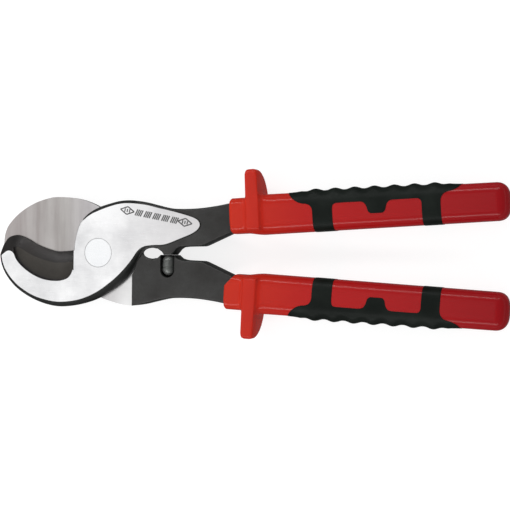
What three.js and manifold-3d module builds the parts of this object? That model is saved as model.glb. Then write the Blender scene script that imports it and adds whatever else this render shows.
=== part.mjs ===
// Two-hand cable cutter with insulated handles, lying flat and closed on its stop.
// Millimetres. +X runs from the jaws to the handles, +Y across the tool, +Z is up.
// The origin is on the pivot axis, on the flat back face of the head.
// Both halves are the same forging turned over: each is drawn with its jaw below the
// X axis and its handle above it, and the rear half is then turned half a turn about X.
import * as THREE from 'three';
import { mergeVertices } from 'three/addons/utils/BufferGeometryUtils.js';
import Module from 'manifold-3d';

const wasm = await Module();
wasm.setup();

// ---- Driving dimensions ----------------------------------------------------------
const GAP = 0.3;                 // running and seating clearance between pieces
const BLADE_T = 5.5;             // thickness of one half in the lap joint
const FACE_Z = GAP / 2 + BLADE_T;   // polished outer face, above the middle plane
const LAP_Z = GAP / 2;           // sliding face of a blade, above the middle plane
const TANG_Z = 5.25;             // half the thickness of the dark forged tang
const RIM_DROP = 1.25;           // drop of the forged rim round the polished face
const RIM_WIDTH = 1.4;           // width of that rim
const RIDGE_Z = 3.45;            // floor of the milled hollow behind the cutting bevel
const BEVEL_WIDTH = 5.6;         // width of the cutting bevel
const EDGE_LAND = 0.25;          // flat left on the cutting edge
const ROOT_X = -12.8;            // wall where the cutting bevel meets the hub
const STEP_X = 17.6;             // shoulder from half thickness to full thickness
const SWEEP_R = 20.6;            // radius that the turning hub needs in the shoulder

const HEAD_R = 7.0;              // pivot bolt head, flush with the front face
const HEAD_T = 2.5;
const SHANK_R = 4.0;
const THREAD_R = 3.0;
const NUT_BORE_R = 7.0;          // counterbore for nut and spring washer
const NUT_BORE_T = 3.2;
const NUT_T = 2.1;
const NUT_CORNER_R = 6.0;
const WASHER_T = 0.5;
const WASHER_R = 6.3;

const STOP_X = 35.6;             // stop pin, lying in a pocket of the rear tang
const STOP_R = 2.7;
const STOP_TOP = 0.75;           // its domed end, measured from the tool's middle line
const STOP_LENGTH = 10;
const STOP_Z = -(FACE_Z - STOP_R);   // its crest is level with the polished face
const STOP_POCKET_R = 3.5;
const STOP_POCKET_END = 12.2;
const LENS_SLANT = 4.1;          // lean of the opening behind the hub, from front to back

const HANDLE_START = new THREE.Vector3(74.5, 18.25, 0);   // beside the guard, on the handle axis
const HANDLE_TURN = THREE.MathUtils.degToRad(3.14);    // handle axis against the X axis
const COLLAR_U = -7.4;             // mouth of the upper sleeve
const LONG_COLLAR_U = -9.8;     // mouth of the lower sleeve, cut off beside the tang
const COLLAR_INSET = 1.4;        // the collar is this much narrower than the body, each side
const END_U = 123;               // closed end of the sleeve
const BODY_FRONT = 9.6;          // half width of the sleeve behind the guard
const BODY_BACK = 8.7;           // half width of the sleeve near its end
const BODY_DEPTH = 8.2;          // half thickness of the sleeve
const BODY_ROUND = 4.4;          // rounding of the sleeve along its length
const GUARD_T = 6.1;             // thickness of the guard flange
const GUARD_ROUND = 0.9;         // rounding of its edges
const GUARD_RAMP_BEFORE = 3.2;     // run of the ramp from the collar up to the flange
const GUARD_RAMP_BEHIND = 4.2;     // run of the ramp from the flange down to the sleeve
const GUARD_V = 21.4;            // reach of the guard beyond the handle axis
const GUARD_LOW_V = -7.6;        // its inner end, which stays within the sleeve's width
const GUARD_DEPTH = 9.6;         // half depth of the guard beside the handle
const GUARD_BOW_V = 6;           // middle of the bow that rounds off its back
const GUARD_BOW_Z = 5;
const GUARD_CORNER = 1;          // corners of its flat front
const UPPER_GUARD_U = 1.4;       // where the guard starts on each handle
const LOWER_GUARD_U = 0;
const CORE_FRONT = 4.4;          // half width of the steel core where it enters the sleeve
const CORE_BACK = 3.4;           // half width of the steel core at its far end
const CORE_DEPTH = 3.6;          // half thickness of the steel core
const CORE_END = 100;            // far end of the steel core
const TANG_END = -6;             // the tang steps down to its core inside the sleeve
const LAYER_WALL = 1.3;          // inner insulating layer round the steel core
const LAYER_ROUND = 2.6;         // rounding of that layer's corners
const LAYER_START = TANG_END + GAP;
const LAYER_END = CORE_END + LAYER_WALL + GAP;
const GRIP_DEPTH = 1.2;          // depth of the recess that holds the soft grip
const GRIP_PROUD = 0.15;         // how far the soft grip stands out of the sleeve
const GRIP_START_U = 21.2;       // stations of the soft grip along the handle
const BAND_ONE = [33.0, 42.4];   // first band round the handle
const TONGUE = [58.8, 67.4];     // tongue between the bands
const BAND_TWO = [83.9, 92.4];   // second band round the handle
const GRIP_END_U = 102.2;
const STRIP_V = 3.3;             // inner border of the strip along the outer edge
const TONGUE_V = -2.4;           // inner end of the tongue
const SHOULDER_V = 9.4;          // where the strip's ends turn over the outer edge
const WAVE_PITCH = 9.27;
const WAVE_COUNT = 7;
const WAVE_FIRST_U = 33.6;
const WAVE_LOW = 0.3;            // valleys of the finger waves above the sleeve
const WAVE_HIGH = 1.3;           // crests of the finger waves above the sleeve
const WAVE_DEPTH = 5.6;          // half width of the wavy strip across the handle
const FAR = 60;                  // cutters reach this far past the part

// ---- Helpers -----------------------------------------------------------------------
function toSolid(geometry) {
  const bare = geometry.index ? geometry : geometry.clone();
  bare.deleteAttribute('normal');
  bare.deleteAttribute('uv');
  const merged = mergeVertices(bare, 1e-4);
  const mesh = new wasm.Mesh({
    numProp: 3,
    vertProperties: new Float32Array(merged.attributes.position.array),
    triVerts: new Uint32Array(merged.index.array),
  });
  return new wasm.Manifold(mesh);
}

function toMesh(solid, name, color, roughness, metalness) {
  const data = solid.getMesh();
  const geometry = new THREE.BufferGeometry();
  geometry.setAttribute('position', new THREE.BufferAttribute(data.vertProperties, 3));
  geometry.setIndex(new THREE.BufferAttribute(data.triVerts, 1));
  geometry.computeVertexNormals();
  const material = new THREE.MeshStandardMaterial({ color, roughness, metalness });
  const mesh = new THREE.Mesh(geometry, material);
  mesh.name = name;
  return mesh;
}

const points = (list) => list.map(([x, y]) => new THREE.Vector2(x, y));

function polygon(list) {
  return new THREE.Shape(points(list));
}

// A straight-walled slab of a shape from z0 to z1.
function slab(shape, z0, z1, curveSegments = 8) {
  const geometry = new THREE.ExtrudeGeometry(shape, { depth: z1 - z0, bevelEnabled: false, curveSegments });
  geometry.translate(0, 0, z0);
  return toSolid(geometry);
}

// A slab whose widest outline is the shape grown by grow, rounded or chamfered to the
// shape itself at its top and bottom over a height of drop.
function grownSlab(shape, z0, z1, grow, drop, segments, curveSegments = 8) {
  const geometry = new THREE.ExtrudeGeometry(shape, {
    depth: z1 - z0 - 2 * drop,
    bevelEnabled: true,
    bevelSize: grow,
    bevelThickness: drop,
    bevelSegments: segments,
    curveSegments,
  });
  geometry.translate(0, 0, z0 + drop);
  return toSolid(geometry);
}

function box(x0, x1, y0, y1, z0, z1) {
  const geometry = new THREE.BoxGeometry(x1 - x0, y1 - y0, z1 - z0);
  geometry.translate((x0 + x1) / 2, (y0 + y1) / 2, (z0 + z1) / 2);
  return toSolid(geometry);
}

// A solid of revolution about the Z axis, from [radius, z] pairs.
function turned(profile) {
  const geometry = new THREE.LatheGeometry(points(profile), 40);
  geometry.rotateX(Math.PI / 2);
  return toSolid(geometry);
}

// A round hole about the Z axis, from a floor upwards and out of the part.
function bore(radius, floor) {
  return turned([[0, floor], [radius, floor], [radius, FAR], [0, FAR]]);
}

// ---- Steel half ----------------------------------------------------------------------
const CUTTING_EDGE = [[-15.7, 1], [-20, 0.6], [-25, 0.75], [-33.4, 3.4], [-38.8, 6.3], [-43.6, 8.2],
  [-47, 8.35], [-50.4, 7.1], [-53, 3.9]];
const FRONT_JAW_BACK = [[-53.1, 0.5], [-52.3, -6], [-49.4, -12.2], [-44.4, -17.6], [-37, -22.2],
  [-28.5, -25.5], [-20, -26.6], [-10.5, -25.3]];
const REAR_JAW_BACK = [[-53.2, 0], [-52.7, -8.5], [-50, -14.6], [-45.4, -20], [-38.5, -24.3],
  [-29.5, -26.9], [-20, -27.3], [-10.5, -26]];
const HUB_UNDERSIDE = [[-1.2, -22.2], [9.3, -16], [14.5, -11.2], [17.6, -7], [20, -3.4]];
const HUB_CORNER = [22.4, -0.1];
const LENS_EDGE = [[24.1, 0.45], [26, 2], [28.4, 2.6], [30.4, 2.2]];
const TANG_INNER = [[52.2, 3.5], [53.6, 3.9], [67.5, 10.2], [71.5, 11.6]];
const TANG_OUTER = [[71.5, 25], [66, 23.9], [59.7, 22.7], [51, 21.6], [42.2, 21.3], [34.5, 21.9],
  [26.9, 23.6], [21.8, 24.8], [16.6, 25.5], [11, 25.2], [5, 23.8], [-0.5, 22], [-5.6, 19],
  [-9.6, 14.5], [-11.6, 9], [-12.7, 3], [ROOT_X, 1]];

// Nose of the front tang that lands on the stop, and the boss of the rear tang that holds it.
const FRONT_NOSE = [[32.6, 0.7], [33.5, STOP_TOP - 1.2], [37.7, STOP_TOP - 1.2], [39.9, 2],
  [41.4, 3], [44.2, 3.3]];
const REAR_BOSS = [[32, STOP_TOP], [38.8, STOP_TOP], [40.7, 2.4], [42.3, 2.9], [44.2, 3.2]];

function halfShape(jawBack, landing) {
  const shape = new THREE.Shape();
  shape.moveTo(ROOT_X, 1);
  shape.lineTo(...CUTTING_EDGE[0]);
  shape.splineThru(points(CUTTING_EDGE.slice(1)));
  shape.splineThru(points([...jawBack, ...HUB_UNDERSIDE, HUB_CORNER]));
  shape.splineThru(points(LENS_EDGE));
  for (const corner of [...landing, ...TANG_INNER]) shape.lineTo(...corner);
  shape.lineTo(...TANG_OUTER[0]);
  shape.splineThru(points(TANG_OUTER.slice(1)));
  return shape;
}

// The ground and polished face: jaw, hub and a long drop shape along the tang.
function polishedShape() {
  const shape = new THREE.Shape();
  shape.moveTo(ROOT_X + RIM_WIDTH, 1);
  shape.lineTo(-20, 1);
  shape.lineTo(-40, 6);
  shape.lineTo(-49.4, 5.6);
  shape.splineThru(points([[-51.6, 0], [-50.6, -6.2], [-47.4, -11.6], [-42.4, -16.6], [-35.2, -20.9],
    [-27.6, -23.3], [-20, -24.2], [-10.4, -23], [-1.6, -19.6], [6.2, -14.4], [11.8, -9.5], [16.8, -3.9],
    [20.4, 1], [23.6, 3.2], [28, 3.9], [34.6, 4.4], [42.2, 7.2], [48.6, 9.9], [51.6, 12.6], [51.4, 15.2],
    [48.4, 17.2], [41, 19.4], [33, 21.3], [24.4, 23.2], [16.6, 24], [11, 23.7], [5.4, 22.3],
    [0.3, 20.5], [-4.4, 17.7], [-8, 13.6], [-9.9, 8.5], [-11.2, 3]]));
  return shape;
}

// Room above the cutting edge; its slab grows upwards into the cutting bevel.
function mouthShape() {
  const shape = new THREE.Shape();
  shape.moveTo(...CUTTING_EDGE[0]);
  shape.splineThru(points(CUTTING_EDGE.slice(1)));
  shape.lineTo(-57, -2);
  shape.lineTo(-80, 20);
  shape.lineTo(-60, 50);
  shape.lineTo(CUTTING_EDGE[0][0], 50);
  return shape;
}

// The milled hollow between the cutting bevel and the polished face.
function hollowShape() {
  const shape = new THREE.Shape();
  shape.moveTo(ROOT_X, 0);
  shape.lineTo(-25, 0);
  shape.lineTo(-38, 3);
  shape.lineTo(-46, 2.5);
  shape.splineThru(points([[-44.2, -2.8], [-41.2, -6.4], [-36.4, -9.8], [-31, -12.3], [-25.6, -13.4],
    [-20, -13.3], [-15.9, -11.6], [-13.4, -7.6], [ROOT_X, -3]]));
  return shape;
}

// Everything beside the shoulder, where the other half's blade lies and turns.
function lapReliefShape() {
  const shape = new THREE.Shape();
  const start = Math.acos(STEP_X / SWEEP_R);
  shape.moveTo(STEP_X, 60);
  shape.lineTo(-90, 60);
  shape.lineTo(-90, -60);
  shape.lineTo(23.1, -60);
  shape.lineTo(23.1, 0.2);
  shape.lineTo(20.45, 3.9);
  shape.absarc(0, 0, SWEEP_R, Math.atan2(4, 20.2), start, false);
  return shape;
}

// Tapered outline of the steel core along the handle, grown by a distance.
function barShape(startU, endU, grow) {
  return polygon([[startU, -CORE_FRONT - grow], [endU, -CORE_BACK - grow], [endU, CORE_BACK + grow],
    [startU, CORE_FRONT + grow]]);
}

function steelCore(grow, endU) {
  return inHandle(centredSlab(barShape(COLLAR_U + 1, endU, grow), CORE_DEPTH + grow));
}

// The opening behind the hub leans towards the jaws as it passes from front to back.
// Its side is the sign of the lean in the half's own drawing.
function lensRoom(side) {
  const upper = [HUB_CORNER, ...LENS_EDGE];
  const lower = [...upper].reverse().map(([x, y]) => [x, -y]);
  const geometry = new THREE.ExtrudeGeometry(polygon([...lower, ...upper.slice(1)]), {
    depth: 2 * TANG_Z, bevelEnabled: false });
  geometry.translate(0, 0, -TANG_Z);
  const lean = LENS_SLANT / (2 * TANG_Z);
  geometry.applyMatrix4(new THREE.Matrix4().set(
    1, 0, side * lean, -LENS_SLANT / 2, 0, 1, 0, 0, 0, 0, 1 + GAP, 0, 0, 0, 0, 1));
  return toSolid(geometry);
}

function steelHalf(jawBack, landing, side) {
  const outline = halfShape(jawBack, landing);
  const whole = slab(outline, -TANG_Z, TANG_Z, 5);
  const rim = grownSlab(polishedShape(), -20, FACE_Z, RIM_WIDTH, RIM_DROP, 1, 5);
  const blade = slab(outline, LAP_Z, FACE_Z, 5).intersect(rim);
  const tangTop = box(26, 90, -60, 60, -20, 20);
  const lowRim = box(-90, 90, -60, 60, -20, FACE_Z - RIM_DROP);
  let half = whole.intersect(lowRim.add(tangTop)).add(blade);
  half = half.subtract(slab(lapReliefShape(), -30, LAP_Z));
  const edgeZ = LAP_Z + EDGE_LAND;
  const mouth = grownSlab(mouthShape(), edgeZ, 40, BEVEL_WIDTH, RIDGE_Z - edgeZ, 1, 5);
  half = half.subtract(mouth.intersect(box(-90, ROOT_X, -60, 60, -20, 20)));
  half = half.subtract(slab(hollowShape(), RIDGE_Z, 20, 5));
  return half.subtract(lensRoom(side)).subtract(insideSleeve(TANG_END));
}

// ---- Handle pieces, drawn along U with V outwards, then carried to their place ---------
function inHandle(geometry) {
  geometry.rotateZ(HANDLE_TURN);
  geometry.translate(HANDLE_START.x, HANDLE_START.y, HANDLE_START.z);
  return toSolid(geometry);
}

// Everything beyond a point on the handle axis.
function insideSleeve(startU) {
  const endU = END_U + FAR;
  const room = polygon([[startU, -FAR], [endU, -FAR], [endU, FAR], [startU, FAR]]);
  return inHandle(centredSlab(room, FAR));
}

// Everything beyond the longer mouth, whose inner corner is cut off along the tang.
function insideLongCollar() {
  const endU = END_U + FAR;
  const [cutStart, cutEnd] = [[LONG_COLLAR_U, -1.6], [-4.8, -8.6]];
  const room = polygon([[cutEnd[0], -FAR], [endU, -FAR], [endU, FAR], [LONG_COLLAR_U, FAR],
    cutStart, cutEnd]);
  return inHandle(centredSlab(room, FAR));
}

// A slab of a shape, as thick above the middle plane as below it; still a bare geometry.
function centredSlab(shape, halfDepth) {
  const geometry = new THREE.ExtrudeGeometry(shape, {
    depth: 2 * halfDepth, bevelEnabled: false, curveSegments: 6 });
  geometry.translate(0, 0, -halfDepth);
  return geometry;
}

// The long body of a sleeve, inset all round by a distance.
function bodySolid(inset) {
  const startU = COLLAR_U - 20;
  const round = BODY_ROUND - inset * 0.5;
  const front = BODY_FRONT - inset - round;
  const back = BODY_BACK - inset - round;
  const corner = Math.min(back, 1.6);
  const end = END_U - inset - round;
  const shape = new THREE.Shape();
  shape.moveTo(startU, -front + COLLAR_INSET);
  shape.lineTo(6, -front);
  shape.lineTo(end - corner, -back);
  shape.quadraticCurveTo(end, -back, end, -back + corner);
  shape.lineTo(end, back - corner);
  shape.quadraticCurveTo(end, back, end - corner, back);
  shape.lineTo(6, front);
  shape.lineTo(startU, front - COLLAR_INSET);
  const geometry = new THREE.ExtrudeGeometry(shape, {
    depth: 2 * (BODY_DEPTH - inset - round),
    bevelEnabled: true,
    bevelSize: round,
    bevelThickness: round,
    bevelSegments: 4,
    curveSegments: 3,
  });
  geometry.translate(0, 0, -(BODY_DEPTH - inset - round));
  return inHandle(geometry);
}

// The guard flange, extruded along U. In the V-Z plane it is square at the front of the tool
// and bowed at the back.
function guardFlange(startU) {
  const round = GUARD_ROUND;
  const depth = GUARD_DEPTH - round;
  const [low, high] = [GUARD_LOW_V + round, GUARD_V - round];
  const shape = new THREE.Shape();
  shape.moveTo(low, -depth + 3);
  shape.quadraticCurveTo(low, -depth, low + 4, -depth);
  shape.lineTo(GUARD_BOW_V, -depth);
  shape.absellipse(GUARD_BOW_V, GUARD_BOW_Z, high - GUARD_BOW_V, depth + GUARD_BOW_Z, -Math.PI / 2, 0, false);
  shape.lineTo(high, depth - GUARD_CORNER);
  shape.quadraticCurveTo(high, depth, high - GUARD_CORNER, depth);
  shape.lineTo(low + GUARD_CORNER, depth);
  shape.quadraticCurveTo(low, depth, low, depth - GUARD_CORNER);
  const geometry = new THREE.ExtrudeGeometry(shape, {
    depth: GUARD_T - 2 * round,
    bevelEnabled: true,
    bevelSize: round,
    bevelThickness: round,
    bevelSegments: 2,
    curveSegments: 10,
  });
  geometry.translate(0, 0, startU + round);
  geometry.applyMatrix4(new THREE.Matrix4().makeBasis(
    new THREE.Vector3(0, 1, 0), new THREE.Vector3(0, 0, 1), new THREE.Vector3(1, 0, 0)));
  return inHandle(geometry);
}

// Ramps that carry the flange into the front and back of the sleeve, drawn in the U-Z plane.
function guardRamps(startU) {
  const crest = GUARD_DEPTH - GUARD_ROUND;
  const foot = BODY_DEPTH - 0.5;
  const side = [[startU - GUARD_RAMP_BEFORE, foot], [startU, crest], [startU + GUARD_T, crest],
    [startU + GUARD_T + GUARD_RAMP_BEHIND, foot]];
  const back = [...side].reverse().map(([u, z]) => [u, -z]);
  const halfWidth = BODY_FRONT - 2.6;
  const geometry = new THREE.ExtrudeGeometry(polygon([...back, ...side].reverse()), {
    depth: 2 * halfWidth, bevelEnabled: true, bevelSize: 0.4, bevelThickness: 0.6, bevelSegments: 2 });
  geometry.translate(0, 0, -halfWidth);
  geometry.rotateX(Math.PI / 2);
  return inHandle(geometry);
}

// Plan outline of the soft grip: wavy strip, two bands round the handle and a tongue.
function gripOutline(grow, bandReach) {
  const strip = STRIP_V - grow;
  const tip = TONGUE_V - grow;
  const outer = 13;
  const start = GRIP_START_U - grow;
  const end = GRIP_END_U + grow;
  const [oneStart, oneEnd] = [BAND_ONE[0] - grow, BAND_ONE[1] + grow];
  const [tongueStart, tongueEnd] = [TONGUE[0] - grow, TONGUE[1] + grow];
  const [twoStart, twoEnd] = [BAND_TWO[0] - grow, BAND_TWO[1] + grow];
  const shape = new THREE.Shape();
  shape.moveTo(start, outer);
  shape.lineTo(start, SHOULDER_V);
  shape.quadraticCurveTo(start + 3.6, strip + 0.6, oneStart - 3.4, strip + 0.4);
  shape.quadraticCurveTo(oneStart, strip, oneStart, strip - 3.6);
  shape.lineTo(oneStart, -bandReach);
  shape.lineTo(oneEnd, -bandReach);
  shape.lineTo(oneEnd, strip - 2.4);
  shape.quadraticCurveTo(oneEnd, strip, oneEnd + 2.4, strip);
  shape.lineTo(tongueStart - 3.4, strip);
  shape.quadraticCurveTo(tongueStart - 0.8, strip, tongueStart, tip + 2.4);
  shape.quadraticCurveTo(tongueStart + 0.4, tip, tongueStart + 2.2, tip);
  shape.lineTo(tongueEnd - 2.2, tip);
  shape.quadraticCurveTo(tongueEnd - 0.4, tip, tongueEnd, tip + 2.4);
  shape.quadraticCurveTo(tongueEnd + 0.6, strip, tongueEnd + 3.2, strip);
  shape.lineTo(twoStart - 2.5, strip);
  shape.quadraticCurveTo(twoStart, strip, twoStart, strip - 2.5);
  shape.lineTo(twoStart, -bandReach);
  shape.lineTo(twoEnd, -bandReach);
  shape.lineTo(twoEnd, strip - 1.6);
  shape.quadraticCurveTo(twoEnd + 0.4, strip + 2.1, twoEnd + 4.6, strip + 2.6);
  shape.quadraticCurveTo(end - 1.6, strip + 3.3, end, SHOULDER_V);
  shape.lineTo(end, outer);
  return shape;
}

// Finger waves along the outer edge of the grip.
function waveStrip() {
  const shape = new THREE.Shape();
  const startU = GRIP_START_U + 0.2;
  const endU = GRIP_END_U - 0.2;
  const steps = 6 * WAVE_COUNT;
  const wavesEnd = WAVE_FIRST_U + WAVE_PITCH * (WAVE_COUNT - 0.5);
  const wavesStart = WAVE_FIRST_U - WAVE_PITCH / 2;
  const edge = (u) => BODY_FRONT + (BODY_BACK - BODY_FRONT) * (u / END_U);
  shape.moveTo(startU, 0);
  shape.lineTo(endU, 0);
  shape.lineTo(endU, edge(endU) - 0.6);
  shape.lineTo(wavesEnd + 3, edge(wavesEnd) + WAVE_LOW - 0.6);
  for (let i = steps; i >= 0; i -= 1) {
    const u = wavesStart + ((wavesEnd - wavesStart) * i) / steps;
    const lift = 0.5 + 0.5 * Math.cos((2 * Math.PI * (u - WAVE_FIRST_U)) / WAVE_PITCH);
    shape.lineTo(u, edge(u) + WAVE_LOW + (WAVE_HIGH - WAVE_LOW) * lift - 0.6);
  }
  shape.lineTo(startU, edge(startU) - 0.6);
  const geometry = new THREE.ExtrudeGeometry(shape, {
    depth: 2 * (WAVE_DEPTH - 1.2),
    bevelEnabled: true,
    bevelSize: 0.6,
    bevelThickness: 1.2,
    bevelSegments: 2,
  });
  geometry.translate(0, 0, -(WAVE_DEPTH - 1.2));
  return inHandle(geometry);
}

// The inner insulating layer as a full bar, grown all round by a distance.
function layerSolid(grow) {
  const wall = LAYER_WALL + GAP + grow - LAYER_ROUND;
  const start = LAYER_START - 4 * LAYER_ROUND;
  const end = LAYER_END + grow - LAYER_ROUND;
  const geometry = new THREE.ExtrudeGeometry(barShape(start, end, wall), {
    depth: 2 * (CORE_DEPTH + wall),
    bevelEnabled: true,
    bevelSize: LAYER_ROUND,
    bevelThickness: LAYER_ROUND,
    bevelSegments: 3,
  });
  geometry.translate(0, 0, -(CORE_DEPTH + wall));
  return inHandle(geometry).intersect(insideSleeve(LAYER_START - grow));
}

function innerLayer() {
  return layerSolid(0).subtract(steelCore(GAP, CORE_END + GAP));
}

// Mouth of the sleeve, which takes the full tang.
function tangRoom() {
  const end = TANG_END + 0.01;
  const mouth = polygon([[COLLAR_U - 9, -8.3], [end, -7.7], [end, 7.4], [COLLAR_U - 9, 7.4]]);
  return inHandle(centredSlab(mouth, TANG_Z + GAP));
}

// A sleeve from its mouth on, with its guard at startU; facing tells which side is the front.
function sleeve(mouth, startU, facing) {
  const flange = facing > 0 ? guardFlange(startU) : guardFlange(startU).mirror([0, 0, 1]);
  const body = bodySolid(0).intersect(mouth);
  let solid = body.add(flange).add(guardRamps(startU));
  solid = solid.subtract(layerSolid(GAP)).subtract(tangRoom());
  const recess = inHandle(centredSlab(gripOutline(GAP, 30), 30)).subtract(bodySolid(GRIP_DEPTH + GAP));
  return solid.subtract(recess);
}

function softGrip() {
  const zone = inHandle(centredSlab(gripOutline(0, 30), 30));
  const skin = bodySolid(-GRIP_PROUD).add(waveStrip());
  return zone.intersect(skin).subtract(bodySolid(GRIP_DEPTH));
}

// ---- Pivot and stop ----------------------------------------------------------------------
function pivotRoom(floorRoom) {
  return floorRoom.add(bore(SHANK_R + GAP, -FAR));
}

function pivotBolt() {
  const shoulder = -(FACE_Z - NUT_BORE_T) + GAP / 2;
  return turned([[0, -FACE_Z], [THREAD_R, -FACE_Z], [THREAD_R, shoulder], [SHANK_R, shoulder],
    [SHANK_R, FACE_Z - HEAD_T], [HEAD_R, FACE_Z - HEAD_T], [HEAD_R, FACE_Z], [0, FACE_Z]]);
}

function springWasher() {
  const low = -(FACE_Z - NUT_BORE_T) - GAP - WASHER_T;
  const high = low + WASHER_T;
  const disc = turned([[0, low], [WASHER_R, low], [WASHER_R, high], [0, high]]);
  return disc.subtract(bore(THREAD_R + GAP, -FAR));
}

function pivotNut() {
  const high = -(FACE_Z - NUT_BORE_T) - 2 * GAP - WASHER_T;
  const corners = [0, 1, 2, 3, 4, 5].map((i) => [
    NUT_CORNER_R * Math.cos((i * Math.PI) / 3), NUT_CORNER_R * Math.sin((i * Math.PI) / 3)]);
  return slab(polygon(corners), high - NUT_T, high).subtract(bore(THREAD_R + GAP, -FAR));
}

function stopPin() {
  const geometry = new THREE.CapsuleGeometry(STOP_R, STOP_LENGTH - 2 * STOP_R, 5, 18);
  geometry.translate(STOP_X, STOP_TOP + STOP_LENGTH / 2, STOP_Z);
  return toSolid(geometry);
}

// Pocket in the rear tang, open towards the front face and towards the nose.
function stopPocket() {
  const shape = new THREE.Shape();
  shape.moveTo(STOP_X + STOP_POCKET_R, -2);
  shape.lineTo(STOP_X + STOP_POCKET_R, STOP_POCKET_END - STOP_POCKET_R);
  shape.absarc(STOP_X, STOP_POCKET_END - STOP_POCKET_R, STOP_POCKET_R, 0, Math.PI, false);
  shape.lineTo(STOP_X - STOP_POCKET_R, -2);
  return slab(shape, -FAR, STOP_Z + STOP_R + GAP, 8);
}

// ---- Assembly ------------------------------------------------------------------------------
const BLACK_STEEL = 0x3a3a3a;
const BRIGHT_STEEL = 0xd8d8d6;
const RED = 0xb8232a;
const SOFT_BLACK = 0x1b1d1b;
const LAYER_YELLOW = 0xd9b23a;

const headRoom = bore(HEAD_R + GAP, FACE_Z - HEAD_T - GAP);
const nutRoom = bore(NUT_BORE_R, FACE_Z - NUT_BORE_T);
const frontSteel = steelHalf(FRONT_JAW_BACK, FRONT_NOSE, 1)
  .add(steelCore(0, CORE_END))
  .subtract(pivotRoom(headRoom));
const rearSteel = steelHalf(REAR_JAW_BACK, REAR_BOSS, -1)
  .add(steelCore(0, CORE_END))
  .subtract(pivotRoom(nutRoom))
  .subtract(stopPocket());

const front = new THREE.Group();
front.add(
  toMesh(frontSteel, 'front_half', BRIGHT_STEEL, 0.3, 0.9),
  toMesh(innerLayer(), 'upper_inner_layer', LAYER_YELLOW, 0.6, 0),
  toMesh(sleeve(insideSleeve(COLLAR_U), UPPER_GUARD_U, 1), 'upper_sleeve', RED, 0.3, 0),
  toMesh(softGrip(), 'upper_soft_grip', SOFT_BLACK, 0.7, 0),
);

const rear = new THREE.Group();
rear.rotation.x = Math.PI;
rear.add(
  toMesh(rearSteel, 'rear_half', BRIGHT_STEEL, 0.3, 0.9),
  toMesh(stopPin(), 'stop_pin', BLACK_STEEL, 0.3, 0.6),
  toMesh(innerLayer(), 'lower_inner_layer', LAYER_YELLOW, 0.6, 0),
  toMesh(sleeve(insideLongCollar(), LOWER_GUARD_U, -1), 'lower_sleeve', RED, 0.3, 0),
  toMesh(softGrip(), 'lower_soft_grip', SOFT_BLACK, 0.7, 0),
);

const cutter = new THREE.Group();
cutter.position.z = FACE_Z;
cutter.add(
  front,
  rear,
  toMesh(pivotBolt(), 'pivot_bolt', BRIGHT_STEEL, 0.25, 0.9),
  toMesh(springWasher(), 'spring_washer', BRIGHT_STEEL, 0.35, 0.9),
  toMesh(pivotNut(), 'pivot_nut', BLACK_STEEL, 0.45, 0.8),
);

export default cutter;
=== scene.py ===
"""Two-hand insulated cable cutter: fine meshes, materials, floor, light and camera.

Shapes are drawn in millimetres in the frame of one half: the pivot at 0, 0, the lap plane at
z 0, the jaw below the X axis and the handle above it. The front half is lifted to its height
as drawn, and the rear half is turned half a turn about X first.
"""
import math

import bmesh
import bpy
from mathutils import Matrix, Vector


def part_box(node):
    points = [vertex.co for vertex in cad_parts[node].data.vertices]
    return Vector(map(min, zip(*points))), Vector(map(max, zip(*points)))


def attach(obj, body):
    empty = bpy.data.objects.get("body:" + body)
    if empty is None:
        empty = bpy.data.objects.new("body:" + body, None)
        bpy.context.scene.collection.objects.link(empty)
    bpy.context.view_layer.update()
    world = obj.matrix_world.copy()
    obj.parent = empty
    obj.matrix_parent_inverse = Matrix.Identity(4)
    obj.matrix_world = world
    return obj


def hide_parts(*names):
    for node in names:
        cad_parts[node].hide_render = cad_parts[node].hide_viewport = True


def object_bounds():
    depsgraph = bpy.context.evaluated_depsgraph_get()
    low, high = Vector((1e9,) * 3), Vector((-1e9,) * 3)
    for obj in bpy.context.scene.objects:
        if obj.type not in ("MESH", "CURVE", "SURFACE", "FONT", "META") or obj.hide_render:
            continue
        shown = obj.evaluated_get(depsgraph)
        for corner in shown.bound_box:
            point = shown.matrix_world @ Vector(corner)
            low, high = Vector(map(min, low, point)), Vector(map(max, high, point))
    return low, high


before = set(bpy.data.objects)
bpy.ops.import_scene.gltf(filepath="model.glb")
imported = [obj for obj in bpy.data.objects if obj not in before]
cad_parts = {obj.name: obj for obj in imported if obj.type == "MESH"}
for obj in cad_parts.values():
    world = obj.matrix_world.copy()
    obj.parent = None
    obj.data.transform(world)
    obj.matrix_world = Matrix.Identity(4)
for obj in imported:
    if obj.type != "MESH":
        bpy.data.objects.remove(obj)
CAD_LOW, CAD_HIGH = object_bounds()

MM = 0.001
FRONT, REAR = "front_side", "rear_side"

# ---- Driving dimensions, millimetres -------------------------------------------------
BOLT_LOW, BOLT_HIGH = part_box("pivot_bolt")
MID_Z = (BOLT_LOW[2] + BOLT_HIGH[2]) / 2 / MM      # height of the lap plane in the row frame
FACE_Z = (BOLT_HIGH[2] - BOLT_LOW[2]) / 2 / MM     # ground outer face above the lap plane
LAP_Z = 0.15                                       # sliding face above the lap plane
TANG_Z = 5.25                                      # half thickness of the forged tang
HOLLOW_Z = 3.45                                    # floor of the milled hollow
ROOT_X = -12.8                                     # wall where the bevel meets the hub
STEP_X = 17.6                                      # shoulder of the tang
SWEEP_R = 20.6                                     # radius the turning hub needs there

HEAD_R, HEAD_T = 7.0, 2.5
SHANK_R, THREAD_R = 4.0, 3.0
NUT_BORE_R, NUT_BORE_T = 7.0, 3.2
WASHER_R, WASHER_BORE_R = 6.3, 3.3
GAP = 0.3

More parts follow.
